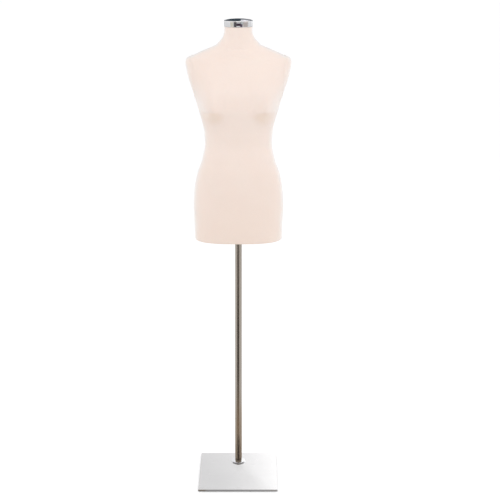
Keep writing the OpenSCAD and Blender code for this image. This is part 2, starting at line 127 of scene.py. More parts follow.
class Tree:
    """A small hand for building node materials."""

    def __init__(self, name):
        self.mat = bpy.data.materials.new(name)
        self.mat.use_nodes = True
        self.nt = self.mat.node_tree
        self.nt.nodes.clear()
        self.out = self.nt.nodes.new("ShaderNodeOutputMaterial")
        self.bsdf = self.nt.nodes.new("ShaderNodeBsdfPrincipled")
        self.nt.links.new(self.bsdf.outputs[0], self.out.inputs[0])

    def put(self, value, socket):
        if isinstance(value, bpy.types.NodeSocket):
            self.nt.links.new(value, socket)
        elif value is not None:
            if hasattr(socket.default_value, "__len__") and not hasattr(value, "__len__"):
                value = [value] * len(socket.default_value)
            if hasattr(value, "__len__") and hasattr(socket.default_value, "__len__") and len(value) == 3 and len(socket.default_value) == 4:
                value = list(value) + [1.0]
            socket.default_value = value

    def set(self, **kw):
        for k, v in kw.items():
            self.put(v, self.bsdf.inputs[k.replace("_", " ")])
        return self

    def coord(self, kind="Object"):
        return self.nt.nodes.new("ShaderNodeTexCoord").outputs[kind]

    def uv(self, name):
        n = self.nt.nodes.new("ShaderNodeUVMap")
        n.uv_map = name
        return n.outputs[0]

    def mapping(self, vec, scale=(1, 1, 1), loc=(0, 0, 0), rot=(0, 0, 0)):
        n = self.nt.nodes.new("ShaderNodeMapping")
        self.put(vec, n.inputs["Vector"])
        n.inputs["Scale"].default_value = scale
        n.inputs["Location"].default_value = loc
        n.inputs["Rotation"].default_value = rot
        return n.outputs[0]

    def noise(self, vec, scale, detail=3, rough=0.55, distort=0.0):
        n = self.nt.nodes.new("ShaderNodeTexNoise")
        self.put(vec, n.inputs["Vector"])
        n.inputs["Scale"].default_value = scale
        n.inputs["Detail"].default_value = detail
        n.inputs["Roughness"].default_value = rough
        n.inputs["Distortion"].default_value = distort
        return n.outputs[0]

    def voronoi(self, vec, scale, feature="F1", out="Distance"):
        n = self.nt.nodes.new("ShaderNodeTexVoronoi")
        n.feature = feature
        self.put(vec, n.inputs["Vector"])
        n.inputs["Scale"].default_value = scale
        return n.outputs[out]

    def wave(self, vec, scale, distort=0.0, detail=0.0, dscale=1.0, kind="BANDS", direction="X", profile="SIN"):
        n = self.nt.nodes.new("ShaderNodeTexWave")
        n.wave_type = kind
        n.wave_profile = profile
        if kind == "BANDS":
            n.bands_direction = direction
        else:
            n.rings_direction = direction
        self.put(vec, n.inputs["Vector"])
        n.inputs["Scale"].default_value = scale
        n.inputs["Distortion"].default_value = distort
        n.inputs["Detail"].default_value = detail
        n.inputs["Detail Scale"].default_value = dscale
        return n.outputs[1]

    def math(self, op, a, b=None, c=None, clamp=False):
        n = self.nt.nodes.new("ShaderNodeMath")
        n.operation = op
        n.use_clamp = clamp
        self.put(a, n.inputs[0])
        if b is not None:
            self.put(b, n.inputs[1])
        if c is not None:
            self.put(c, n.inputs[2])
        return n.outputs[0]

    def sep(self, vec):
        n = self.nt.nodes.new("ShaderNodeSeparateXYZ")
        self.put(vec, n.inputs[0])
        return n.outputs

    def ramp(self, fac, stops, mode="LINEAR"):
        n = self.nt.nodes.new("ShaderNodeValToRGB")
        n.color_ramp.interpolation = mode
        els = n.color_ramp.elements
        while len(els) < len(stops):
            els.new(0.5)
        for e, (p, c) in zip(els, stops):
            e.position = p
            e.color = (c, c, c, 1) if not hasattr(c, "__len__") else (*c, 1)
        self.put(fac, n.inputs[0])
        return n.outputs[0]

    def range(self, v, a, b, c, d):
        n = self.nt.nodes.new("ShaderNodeMapRange")
        self.put(v, n.inputs[0])
        for i, x in enumerate((a, b, c, d)):
            n.inputs[i + 1].default_value = x
        return n.outputs[0]

    def mix(self, fac, a, b, blend="MIX"):
        n = self.nt.nodes.new("ShaderNodeMix")
        n.data_type = "RGBA"
        n.blend_type = blend
        self.put(fac, n.inputs[0])
        self.put(a, n.inputs[6])
        self.put(b, n.inputs[7])
        return n.outputs[2]

    def tint(self, col, rgb):
        return self.mix(1.0, col, rgb, "MULTIPLY")

    def bump(self, height, strength=0.3, distance=0.001, normal=None):
        n = self.nt.nodes.new("ShaderNodeBump")
        n.inputs["Strength"].default_value = strength
        n.inputs["Distance"].default_value = distance
        self.put(height, n.inputs["Height"])
        if normal is not None:
            self.put(normal, n.inputs["Normal"])
        return n.outputs[0]


def knit_material(name, base, shade, uv=True):
    """Fine stretch jersey: chevron stitches in upright wales and a dry matt face, with painted light on top: a pale
    painted sheen that lifts the edges, and painted shade in the grooves between wales, on downward-facing parts and
    towards the hem.
    """
    t = Tree(name)
    v = t.uv("cloth") if uv else t.mapping(t.coord(), scale=(1, 1, 1))
    x, y, _ = t.sep(v)
    wales = t.math("MULTIPLY", x, 1 / 0.0011)
    rows = t.math("MULTIPLY", y, 1 / 0.0009)
    f = t.math("SUBTRACT", t.math("FRACT", wales), 0.5)
    af = t.math("ABSOLUTE", f)
    leg = t.math("COSINE", t.math("MULTIPLY", t.math("ADD", rows, af), 2 * math.pi))
    groove = t.math("POWER", t.math("MULTIPLY", af, 2.0), 4.0)
    stitch = t.math("SUBTRACT", t.math("MULTIPLY", t.math("ADD", leg, 1.0), 0.35), t.math("MULTIPLY", groove, 0.6))
    obj = t.coord()
    fuzz = t.noise(t.mapping(obj, scale=(1, 1, 0.8)), 900, 2, 0.7)
    slub = t.noise(t.mapping(v, scale=(1, 0.12, 1)), 420, 2, 0.6)
    cloud = t.noise(obj, 5.5, 4, 0.55)
    fine = t.noise(obj, 60, 3, 0.6)
    tone = t.range(cloud, 0.3, 0.7, 0.0, 1.0)
    col = t.mix(tone, base, shade)
    col = t.mix(t.range(slub, 0.35, 0.7, 0.0, 0.16), col, [c * 0.93 for c in base])
    col = t.mix(t.range(fine, 0.3, 0.75, 0.0, 0.10), col, [min(1, c * 1.04) for c in base])
    # Painted shade: the grooves between the wales are darkened with the shade colour.
    col = t.mix(t.range(groove, 0.2, 1.0, 0.0, 0.10), col, [c * 0.86 for c in shade])
    # Painted rim sheen: the colour is whitened where the surface turns away from the view, strongest on the edges and
    # weak where they face down.
    lw = t.nt.nodes.new("ShaderNodeLayerWeight")
    lw.inputs["Blend"].default_value = 0.5
    painted_rim_sheen = t.math("MINIMUM", t.math("MULTIPLY", t.math("POWER", lw.outputs["Facing"], 3.4), 1.9), 1.0)
    tilt = t.sep(t.nt.nodes.new("ShaderNodeNewGeometry").outputs["Normal"])[2]
    painted_rim_sheen = t.math("MULTIPLY", painted_rim_sheen, t.math("MULTIPLY", t.range(fuzz, 0.3, 0.7, 0.74, 0.96), t.range(tilt, -0.42, -0.10, 0.1, 1.0)))
    # Painted shade: downward-facing parts, such as under the bust, are tinted darker and warmer.
    col = t.mix(t.range(tilt, -0.70, -0.34, 0.85, 0.0), col, t.tint(col, (0.985, 0.945, 0.880)))
    # Painted shade: the cloth is tinted slightly darker and warmer towards the hem, fully at 0.80 m and fading out by
    # 1.12 m.
    col = t.mix(t.range(t.sep(obj)[2], 0.80, 1.12, 1.0, 0.0), col, t.tint(col, (0.985, 0.968, 0.945)))
    # Colour of the painted sheen: pale grey-white on most edges, greyer where the edge faces up.
    col = t.mix(painted_rim_sheen, col, t.mix(t.range(tilt, 0.15, 0.75, 0.0, 1.0), (0.93, 0.915, 0.90), (0.74, 0.715, 0.695)))
    height = t.math("ADD", stitch, t.math("MULTIPLY", fuzz, 0.5))
    b1 = t.bump(t.math("ADD", slub, t.math("MULTIPLY", fine, 0.6)), 0.10, 0.0006)
    t.set(Base_Color=col, Roughness=t.range(fuzz, 0.3, 0.7, 0.62, 0.78),
          Normal=t.bump(height, 0.22, 0.00022, b1),
          Sheen_Weight=0.55, Sheen_Roughness=0.45, Sheen_Tint=(1.0, 0.985, 0.97))
    t.bsdf.inputs["Specular IOR Level"].default_value = 0.55
    t.bsdf.inputs["Subsurface Weight"].default_value = 0.06
    t.bsdf.inputs["Subsurface Radius"].default_value = (0.004, 0.0025, 0.0018)
    return t.mat


def twill_material(name, base):
    t = Tree(name)
    o = t.coord()
    diag = t.wave(t.mapping(o, rot=(0.0, 0.7, 0.78)), 700, 0.4, 1.0, 3.0, direction="DIAGONAL")
    warp = t.wave(o, 420, 0.3, 0, 1, direction="Z")
    h = t.math("ADD", t.math("MULTIPLY", diag, 0.7), t.math("MULTIPLY", warp, 0.3))
    n = t.noise(o, 45, 3)
    t.set(Base_Color=t.mix(t.range(h, 0, 1, 0.0, 0.35), t.mix(n, base, [c * 0.9 for c in base]), [c * 0.8 for c in base]),
          Roughness=0.9, Normal=t.bump(h, 0.4, 0.0004), Sheen_Weight=0.3, Sheen_Roughness=0.5)
    return t.mat


def foam_material(name, base):
    t = Tree(name)
    o = t.coord()
    cells = t.voronoi(o, 900)
    big = t.voronoi(o, 380)
    h = t.math("ADD", cells, t.math("MULTIPLY", big, 0.8))
    col = t.mix(t.range(cells, 0.1, 0.6, 0, 0.5), base, [c * 0.72 for c in base])
    col = t.mix(t.range(t.noise(o, 9, 3), 0.35, 0.7, 0, 0.4), col, (base[0] * 0.95, base[1] * 0.88, base[2] * 0.7))
    t.set(Base_Color=col, Roughness=0.95, Normal=t.bump(h, 0.6, 0.0008))
    return t.mat


def fibre_shell_material(name, base):
    t = Tree(name)
    o = t.coord()
    strands = t.noise(t.mapping(o, scale=(1, 0.15, 0.3), rot=(0.4, 0.9, 0.2)), 380, 4, 0.65, 1.2)
    strands2 = t.noise(t.mapping(o, scale=(0.2, 1, 0.25), rot=(1.1, 0.2, 0.8)), 330, 4, 0.65, 1.2)
    h = t.math("MAXIMUM", strands, strands2)
    col = t.mix(t.range(h, 0.45, 0.75, 0, 0.8), base, [min(1, c * 1.15) for c in base])
    t.set(Base_Color=col, Roughness=t.range(strands, 0.3, 0.7, 0.34, 0.55), Normal=t.bump(h, 0.25, 0.0006))
    return t.mat


def steel_material(name, base, rough, streak=(1, 1, 0.02), streak_scale=500, tint=(0.8, 0.8, 0.8), smudge=0.06, scratch=True, bump=0.05,
                   aniso=0.0, low_painted_shade=None):
    """Brushed or drawn metal: fine streaks along one axis, uneven polish, hairline scratches and dull finger marks."""
    t = Tree(name)
    o = t.coord()
    line = t.noise(t.mapping(o, scale=streak), streak_scale, 3, 0.7)
    broad = t.noise(t.mapping(o, scale=[max(s, 0.05) for s in streak]), streak_scale * 0.08, 3, 0.5)
    marks = t.noise(o, 14, 5, 0.6, 0.4)
    col = t.mix(t.range(line, 0.3, 0.7, 0.0, 0.45), base, [c * d for c, d in zip(base, tint)])
    col = t.mix(t.range(broad, 0.35, 0.7, 0.0, 0.25), col, [min(1, c * 1.08) for c in base])
    r = t.math("ADD", t.range(line, 0.25, 0.75, rough * 0.8, rough * 1.25), t.range(marks, 0.45, 0.75, 0.0, smudge))
    h = line
    if scratch:
        sv = t.voronoi(t.mapping(o, scale=(3, 0.35, 0.5), rot=(0.3, 0.5, 0.9)), 60, "DISTANCE_TO_EDGE")
        sc = t.range(sv, 0.0, 0.012, 1.0, 0.0)
        gate = t.range(t.noise(o, 30, 2), 0.55, 0.7, 0.0, 1.0)
        sc = t.math("MULTIPLY", sc, gate)
        r = t.math("ADD", r, t.math("MULTIPLY", sc, 0.12))
        h = t.math("SUBTRACT", line, t.math("MULTIPLY", sc, 0.5))
    # Painted shade: below a blotchy line at about 0.16 to 0.30 m the colour is darkened and tinted by
    # low_painted_shade.
    if low_painted_shade is not None:
        z = t.sep(o)[2]
        col = t.mix(t.range(t.math("ADD", z, t.math("MULTIPLY", marks, 0.04)), 0.16, 0.30, 1.0, 0.0), col, t.tint(col, low_painted_shade))
    t.set(Base_Color=col, Metallic=1.0, Roughness=r, Normal=t.bump(h, bump, 0.0003))
    if aniso:
        t.bsdf.inputs["Anisotropic"].default_value = aniso
    return t.mat


def plate_material(name):
    """Satin sheet steel: fine cross-brushing and wiped streaks, with a painted reflection that pales the top towards
    the near right corner, in a broad ramp and a soft-edged step over the corner, and painted shade that darkens the
    side faces.
    """
    t = Tree(name)
    o = t.coord()
    x, y, _ = t.sep(o)
    line = t.noise(t.mapping(o, scale=(0.02, 1, 1)), 1500, 3, 0.65)
    wipe = t.noise(t.mapping(o, scale=(0.5, 1.6, 1), rot=(0, 0, 0.5)), 9, 4, 0.5, 0.6)
    marks = t.noise(o, 26, 5, 0.6, 0.4)
    # Painted reflection: the plate is painted paler towards the near right corner, in a broad ramp and a soft-edged
    # step along a diagonal line.
    d = t.math("SUBTRACT", t.math("SUBTRACT", x, 0.012), t.math("MULTIPLY", t.math("ADD", y, 0.041), -0.46))
    painted_reflection_step = t.range(t.math("ADD", d, t.math("MULTIPLY", t.math("SUBTRACT", wipe, 0.5), 0.02)), -0.01, 0.035, 0.0, 1.0)
    painted_reflection_ramp = t.range(d, -0.14, 0.13, 0.0, 1.0)
    v = t.math("ADD", t.math("ADD", 0.775, t.math("MULTIPLY", painted_reflection_step, 0.07)), t.math("MULTIPLY", painted_reflection_ramp, 0.13))
    v = t.math("ADD", v, t.range(line, 0.3, 0.7, -0.012, 0.012))
    v = t.math("ADD", v, t.range(wipe, 0.3, 0.7, -0.012, 0.012))
    # Painted shade: faces whose normals lie near level, the plate's edges, are painted darker, down to 0.42 of the top.
    up = t.math("ABSOLUTE", t.sep(t.nt.nodes.new("ShaderNodeNewGeometry").outputs["Normal"])[2])
    v = t.math("MULTIPLY", v, t.range(up, 0.3, 0.9, 0.42, 1.0))
    col = t.nt.nodes.new("ShaderNodeCombineColor")
    t.put(v, col.inputs[0])
    t.put(t.math("MULTIPLY", v, 0.992), col.inputs[1])
    t.put(t.math("MULTIPLY", v, 0.988), col.inputs[2])
    r = t.math("ADD", t.range(line, 0.25, 0.75, 0.20, 0.27), t.range(marks, 0.5, 0.8, 0.0, 0.06))
    t.set(Base_Color=col.outputs[0], Metallic=1.0, Roughness=r, Normal=t.bump(line, 0.02, 0.0002))
    return t.mat


def chrome_material(name, base=(0.92, 0.925, 0.94)):
    t = Tree(name)
    o = t.coord()
    smear = t.noise(o, 22, 5, 0.6, 0.8)
    dust = t.noise(o, 1400, 2, 0.6)
    ripple = t.noise(o, 34, 2, 0.5)
    r = t.math("ADD", t.range(smear, 0.45, 0.72, 0.035, 0.11), t.range(dust, 0.62, 0.8, 0.0, 0.10))
    t.set(Base_Color=t.mix(t.range(smear, 0.4, 0.8, 0, 0.5), base, [c * 0.95 for c in base]), Metallic=1.0, Roughness=r,
          Normal=t.bump(ripple, 0.02, 0.0010))
    return t.mat


def zinc_material(name, base=(0.70, 0.72, 0.75)):
    t = Tree(name)
    o = t.coord()
    spangle = t.voronoi(t.mapping(o, scale=(1, 1, 1.4)), 160, out="Color")
    g, _, _ = t.sep(spangle)
    fine = t.noise(o, 700, 3, 0.6)
    col = t.mix(t.range(g, 0, 1, 0.0, 0.55), base, (base[0] * 0.86, base[1] * 0.87, base[2] * 0.84))
    col = t.mix(t.range(t.noise(o, 40, 4), 0.5, 0.8, 0, 0.35), col, (0.70, 0.67, 0.52))
    t.set(Base_Color=col, Metallic=1.0, Roughness=t.range(fine, 0.3, 0.7, 0.26, 0.42), Normal=t.bump(fine, 0.06, 0.0004))
    return t.mat


def turned_alloy_material(name, base=(0.80, 0.81, 0.83)):
    t = Tree(name)
    o = t.coord()
    rings = t.wave(o, 620, 0.15, 1, 2, direction="Z")
    blast = t.noise(o, 1800, 3, 0.65)
    h = t.math("ADD", t.math("MULTIPLY", rings, 0.6), t.math("MULTIPLY", blast, 0.7))
    col = t.mix(t.range(blast, 0.35, 0.7, 0, 0.5), base, [c * 0.86 for c in base])
    t.set(Base_Color=col, Metallic=1.0, Roughness=t.range(blast, 0.3, 0.7, 0.34, 0.5), Normal=t.bump(h, 0.12, 0.0003))
    return t.mat


def plastic_material(name, base, rough=0.45, grain=1500, strength=0.18, sss=0.0):
    t = Tree(name)
    o = t.coord()
    g = t.noise(o, grain, 3, 0.65)
    wear = t.noise(o, 55, 4, 0.6)
    lift = [min(1, c * 1.5 + 0.012) for c in base]
    t.set(Base_Color=t.mix(t.range(wear, 0.45, 0.8, 0, 0.45), base, lift),
          Roughness=t.math("ADD", t.range(g, 0.3, 0.7, rough - 0.06, rough + 0.08), t.range(wear, 0.5, 0.8, 0.0, -0.10)),
          Normal=t.bump(g, strength, 0.0003))
    if sss:
        t.bsdf.inputs["Subsurface Weight"].default_value = sss
        t.bsdf.inputs["Subsurface Radius"].default_value = (0.003, 0.003, 0.0025)
    return t.mat


def rubber_material(name, base=(0.035, 0.034, 0.033)):
    t = Tree(name)
    o = t.coord()
    g = t.noise(o, 1100, 3, 0.7)
    dust = t.noise(o, 38, 5, 0.65)
    t.set(Base_Color=t.mix(t.range(dust, 0.42, 0.75, 0, 0.5), base, (0.11, 0.105, 0.10)), Roughness=t.range(g, 0.3, 0.7, 0.72, 0.9),
          Normal=t.bump(g, 0.25, 0.0004))
    return t.mat


def wood_material(name, base, dark, along=(1, 12, 12), ply=None):
    """Straight grain with pores; ply=(z0, z1, layers) draws the veneer edges on the sides of a board."""
    t = Tree(name)
    o = t.coord()
    v = t.mapping(o, scale=along)
    warp = t.noise(v, 2.2, 4, 0.6, 0.6)
    rings = t.wave(t.mapping(o, scale=along), 3.4, 5.5, 3, 1.2, direction="Y")
    pores = t.noise(t.mapping(o, scale=(along[0] * 6, along[1] * 14, along[2] * 14)), 9, 3, 0.7)
    col = t.mix(t.range(rings, 0.15, 0.95, 0, 0.75), base, dark)
    col = t.mix(t.range(warp, 0.35, 0.7, 0, 0.35), col, [c * 1.06 for c in base])
    col = t.mix(t.range(pores, 0.58, 0.75, 0, 0.45), col, [c * 0.6 for c in dark])
    h = t.math("ADD", rings, t.math("MULTIPLY", pores, -0.8))
    if ply is not None:
        z0, z1, layers = ply
        z = t.sep(o)[2]
        k = t.math("MULTIPLY", t.math("SUBTRACT", z, z0), layers / (z1 - z0))
        odd = t.math("GREATER_THAN", t.math("FRACT", t.math("MULTIPLY", k, 0.5)), 0.5)
        line = t.math("LESS_THAN", t.math("ABSOLUTE", t.math("SUBTRACT", t.math("FRACT", t.math("ADD", k, 0.5)), 0.5)), 0.07)
        edge = t.mix(odd, [c * 0.98 for c in base], [c * 0.62 for c in dark])
        edge = t.mix(line, edge, (0.16, 0.09, 0.045))
        n = t.nt.nodes.new("ShaderNodeNewGeometry").outputs["Normal"]
        side = t.math("LESS_THAN", t.math("ABSOLUTE", t.sep(n)[2]), 0.5)
        col = t.mix(side, col, edge)
    t.set(Base_Color=col, Roughness=t.range(pores, 0.3, 0.7, 0.55, 0.72), Normal=t.bump(h, 0.12, 0.0004))
    return t.mat


M = {
    "ivory_jersey_thread": twill_material("sewing_thread", (0.84, 0.74, 0.66)),
    "ivory_jersey": knit_material("jersey_knit", (0.880, 0.750, 0.675), (0.860, 0.722, 0.642)),
    "cotton_tape": twill_material("twill_tape", (0.86, 0.77, 0.68)),
    "foam": foam_material("open_foam", (0.86, 0.80, 0.62)),
    "moulded_shell": fibre_shell_material("fibre_moulding", (0.62, 0.58, 0.50)),
    "satin_steel": plate_material("satin_plate"),
    # The pole gets painted shade, darker and browner towards its foot.
    "pole_steel": steel_material("drawn_pole", (0.44, 0.395, 0.345), 0.20, streak=(1, 1, 0.006), streak_scale=1300, tint=(0.86, 0.84, 0.80),
                                 smudge=0.05, bump=0.04, low_painted_shade=(0.82, 0.75, 0.67)),
    "chrome": chrome_material("polished_chrome"),
    "zinc_steel": zinc_material("zinc_plate"),
    "cast_alloy": turned_alloy_material("turned_alloy"),
    "black_rubber": rubber_material("dusty_rubber"),
    "black_plastic": plastic_material("black_moulding", (0.022, 0.022, 0.024)),
    "nylon": plastic_material("natural_nylon", (0.80, 0.78, 0.72), 0.42, 900, 0.08, 0.15),
    "plywood": wood_material("birch_ply", (0.66, 0.49, 0.31), (0.52, 0.35, 0.19), along=(2.2, 14, 14),
                             ply=(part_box("bottom_panel")[0].z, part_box("bottom_panel")[1].z, 9)),
    "pine": wood_material("planed_pine", (0.68, 0.49, 0.28), (0.55, 0.35, 0.17), along=(10, 10, 1.6)),
}

slot_of = {s["node"]: s["material_slot"] for s in frame["record"]["subparts"]}
for name, obj in nodes.items():
    if not obj.material_slots:
        obj.data.materials.append(M[slot_of[name]])
    for s in obj.material_slots:
        s.material = M[slot_of[name]]

# ------------------------------------------------------------------ the body's shape
# The same rule as the CAD cover: one row per level over the hem (mm): half width, front, back, squareness.
HIP, WAIST, BUST, SHOULDER, NECK = 326.0, 244.0, 302.0, 385.0, 103.6
NECK_Y = -8.0
HEM_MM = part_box("jersey_cover")[0].z / MM
ROWS = np.array([
    [0, HIP * 0.476, -88, 102, 2.60], [5, HIP * 0.483, -92, 105, 2.50], [60, HIP * 0.490, -98, 113, 2.35],
    [117, HIP * 0.500, -101, 118, 2.30], [180, HIP * 0.490, -104, 114, 2.30], [230, HIP * 0.461, -104, 104, 2.25],
    [285, WAIST * 0.542, -99, 90, 2.20], [344, WAIST * 0.500, -92, 78, 2.15], [385, WAIST * 0.511, -96, 80, 2.15],
    [430, BUST * 0.445, -106, 87, 2.20], [475, BUST * 0.488, -115, 95, 2.25], [520, BUST * 0.536, -114, 101, 2.35],
    [565, SHOULDER * 0.461, -104, 104, 2.50], [605, SHOULDER * 0.489, -90, 102, 2.60],
    [630, SHOULDER * 0.500, -79, 96, 2.60], [642, SHOULDER * 0.494, -74, 91, 2.55], [648, SHOULDER * 0.479, -71, 88, 2.50],
    [655, SHOULDER * 0.432, -69, 85, 2.40], [664, SHOULDER * 0.385, -67, 80, 2.30], [673, SHOULDER * 0.333, -65, 74, 2.25],
    [683, SHOULDER * 0.272, -63, 67, 2.15], [694, NECK * 0.790, -62, 58, 2.10], [706, NECK * 0.676, -61, 51, 2.05],
    [722, NECK * 0.563, -60, 46, 2.00],
    [738, NECK * 0.512, NECK_Y - NECK * 0.505, NECK_Y + NECK * 0.505, 2.00],
    [759, NECK * 0.500, NECK_Y - NECK * 0.500, NECK_Y + NECK * 0.500, 2.00]])
TOP = 759.0


def smooth_column(k, q):
    x, y = ROWS[:, 0], ROWS[:, k]
    h = np.diff(x)
    d = np.diff(y) / h
    m = np.zeros_like(y)
    m[0], m[-1] = d[0], d[-1]
    for i in range(1, len(x) - 1):
        if d[i - 1] * d[i] > 0:
            m[i] = 3 * (h[i - 1] + h[i]) / ((2 * h[i] + h[i - 1]) / d[i - 1] + (h[i] + 2 * h[i - 1]) / d[i])
    i = np.clip(np.searchsorted(x, q, side="right") - 1, 0, len(x) - 2)
    t = (q - x[i]) / h[i]
    return (1 + 2 * t) * (1 - t) ** 2 * y[i] + t * (1 - t) ** 2 * h[i] * m[i] + t * t * (3 - 2 * t) * y[i + 1] + t * t * (t - 1) * h[i] * m[i + 1]


def bell(v, s):
    return np.exp(-(v / s) ** 2)


BUST_OUT, BUST_X = 36.0, 98.0


def skin(a, z):
    """Points of the outer surface in mm: a is the angle (0 at +X, a quarter turn at the back), z is the height over the hem."""
    c, s = np.cos(a), np.sin(a)
    w, yf, yb, n = (smooth_column(k, z) for k in (1, 2, 3, 4))
    e = 2 / n
    x = w * np.sign(c) * np.abs(c) ** e
    y = (yf + yb) / 2 + (yb - yf) / 2 * np.sign(s) * np.abs(s) ** e
    side = np.minimum(1, np.abs(s) * 2.5)
    bust = (BUST_OUT * (bell(x - BUST_X, 38) + bell(x + BUST_X, 38)) * bell(z - 472, np.where(z > 472, 98, 32))
            + 7 * bell(x, 50) * bell(z - 480, np.where(z > 480, 80, 75)))
    seat = (9 * (bell(x - 66, 52) + bell(x + 66, 52)) * bell(z - 112, 78)
            + 5 * (bell(x - 82, 48) + bell(x + 82, 48)) * bell(z - 560, 75))
    y = np.where(s < 0, y - side * bust, y + side * seat)
    return np.stack([x, y, z + 0 * x], -1)


# ------------------------------------------------------------------ cover grid
# Columns run round from the centre back; they are packed close beside the back seam.
GIRTH = 860.0


def column_shares(count):
    close = np.array([0.0, 0.7, 1.4, 2.2, 3.2, 4.6, 6.4, 8.8, 11.8]) / GIRTH
    mid = np.linspace(close[-1], 1 - close[-1], count)[1:-1]
    return np.concatenate([close, mid, (1 - close[::-1])[:-1]])


def level_list(step, z0=0.0):
    z = np.linspace(0, TOP, 4000)
    w, yf, yb = (smooth_column(k, z) for k in (1, 2, 3))
    slope = np.maximum(np.abs(np.gradient(w, z)), np.abs(np.gradient((yb - yf) / 2, z)))
    s = np.concatenate([[0], np.cumsum(np.sqrt(1 + ((slope[1:] + slope[:-1]) / 2) ** 2) * np.diff(z))])
    s0 = float(np.interp(z0, z, s))
    n = int(round((s[-1] - s0) / step))
    q = np.linspace(s0, s[-1], n + 1)
    return np.interp(q, s, z), q


def ring_points(z, shares):
    """Points of one level at the given shares of tape length, starting at the centre back."""
    a = np.pi / 2 + np.linspace(0, 2 * np.pi, 2881)
    p = skin(a, np.full_like(a, z))
    s = np.concatenate([[0], np.cumsum(np.linalg.norm(np.diff(p, axis=0), axis=1))])
    q = shares * s[-1]
    return np.stack([np.interp(q, s, p[:, 0]), np.interp(q, s, p[:, 1]), np.full_like(q, z)], -1)


def grid_normals(g):
    du = np.roll(g, -1, 1) - np.roll(g, 1, 1)
    dv = np.empty_like(g)
    dv[1:-1] = g[2:] - g[:-2]
    dv[0], dv[-1] = g[1] - g[0], g[-1] - g[-2]
    n = np.cross(du, dv)
    n /= np.linalg.norm(n, axis=-1, keepdims=True)
    if np.mean(n[len(g) // 2, :, 0] * g[len(g) // 2, :, 0]) < 0:
        n = -n
    k = np.clip(np.minimum(g[..., 2] / 30, (TOP - g[..., 2]) / 30), 0, 1)
    n[..., 2] *= k
    return n / np.linalg.norm(n, axis=-1, keepdims=True)


def arm_oval(p):
    """Distance in mm from the sewn oval round the arm end, negative inside it."""
    y, z = np.abs(p[..., 1] - 4.0) + 1e-6, np.abs(p[..., 2] - 579.0) + 1e-6
    a, b, m = 63.0, 76.0, 2.3
    q = ((y / a) ** m + (z / b) ** m) ** (1 / m)
    gy, gz = q ** (1 - m) * (y / a) ** (m - 1) / a, q ** (1 - m) * (z / b) ** (m - 1) / b
    d = (q - 1) / np.sqrt(gy ** 2 + gz ** 2)
    return np.where(np.abs(p[..., 0]) > 95, d, 99.0)


def build_grid(count, step, z0=0.0):
    sh = column_shares(count)
    lv, mer = level_list(step, z0)
    g = np.array([ring_points(z, sh) for z in lv])
    return sh, lv, mer, g, grid_normals(g)


def loop_faces(rows, cols, wrap=False):
    out = []
    for i in range(rows if wrap else rows - 1):
        a, b = i * cols, ((i + 1) % rows) * cols
        for j in range(cols):
            k = (j + 1) % cols
            out.append((a + j, a + k, b + k, b + j))
    return out


# Cloth pass on a coarse copy: the cover starts slack and a little inside the body's surface, is sewn
# down at the hem, neck, back seam and arm ovals, and the padding under it swells it out between them.
INSET = 1.5
CAP = 2.6


def run_cloth(points, weight, frames, pressure):
    me = bpy.data.meshes.new("cover_sim")
    me.from_pydata((points.reshape(-1, 3) * MM).tolist(), [], loop_faces(*points.shape[:2]))
    me.update()
    ob = link(bpy.data.objects.new("cover_sim", me))
    group = ob.vertex_groups.new(name="sewn")
    flat = np.round(weight.reshape(-1), 2)
    for w in np.unique(flat):
        if w > 0:
            group.add([int(i) for i in np.nonzero(flat == w)[0]], float(w), "REPLACE")
    mod = ob.modifiers.new("cloth", "CLOTH")
    cs = mod.settings
    cs.quality = 5
    cs.mass = 0.3
    cs.tension_stiffness = 15
    cs.compression_stiffness = 15
    cs.shear_stiffness = 5
    cs.bending_stiffness = 0.5
    cs.tension_damping = 5
    cs.compression_damping = 5
    cs.shear_damping = 5
    cs.air_damping = 1
    cs.vertex_group_mass = "sewn"
    cs.use_pressure = True
    cs.uniform_pressure_force = pressure
    cs.effector_weights.gravity = 0
    mod.collision_settings.use_collision = False
    mod.collision_settings.use_self_collision = False
    mod.point_cache.frame_start = 1
    mod.point_cache.frame_end = frames
    for f in range(1, frames + 1):
        scene.frame_set(f)
    apply_modifiers(ob)
    out = coords(ob.data) / MM
    scene.frame_set(1)
    bpy.data.objects.remove(ob)
    return out.reshape(points.shape)


cs_sh, cs_lv, cs_mer, cs_grid, cs_nrm = build_grid(150, 6.0)
c_oval = arm_oval(cs_grid)
c_back = np.minimum(cs_sh, 1 - cs_sh)[None, :] * GIRTH + 0 * cs_lv[:, None]
pins = np.zeros(cs_grid.shape[:2])
pins[:2] = 1
pins[-2:] = 1
pins[:, c_back[0] < 0.4] = 1
pins[np.abs(c_oval) < 3.2] = 1
start = cs_grid - cs_nrm * INSET
moved = run_cloth(start, pins, 20, 4.0)
cloth = np.sum((moved - start) * cs_nrm, -1)
print("cloth mm: median", round(float(np.median(cloth)), 2), "p5/p95", np.round(np.percentile(cloth, [5, 95]), 2))
cloth = CAP * np.tanh(np.maximum(cloth, -0.3) / CAP)


def resample(field, sh, lv):
    """Bilinear look-up of a coarse field (rows over cs_lv, columns over cs_sh, closed) on another grid."""
    cols = np.concatenate([cs_sh, [1.0]])
    f = np.concatenate([field, field[:, :1]], 1)
    tmp = np.array([np.interp(sh, cols, row) for row in f])
    return np.array([np.interp(lv, cs_lv, tmp[:, j]) for j in range(len(sh))]).T


def blur(f, times):
    for _ in range(times):
        f = 0.25 * np.roll(f, 1, 1) + 0.5 * f + 0.25 * np.roll(f, -1, 1)
        g = f.copy()
        g[1:-1] = 0.25 * f[:-2] + 0.5 * f[1:-1] + 0.25 * f[2:]
        f = g
    return f


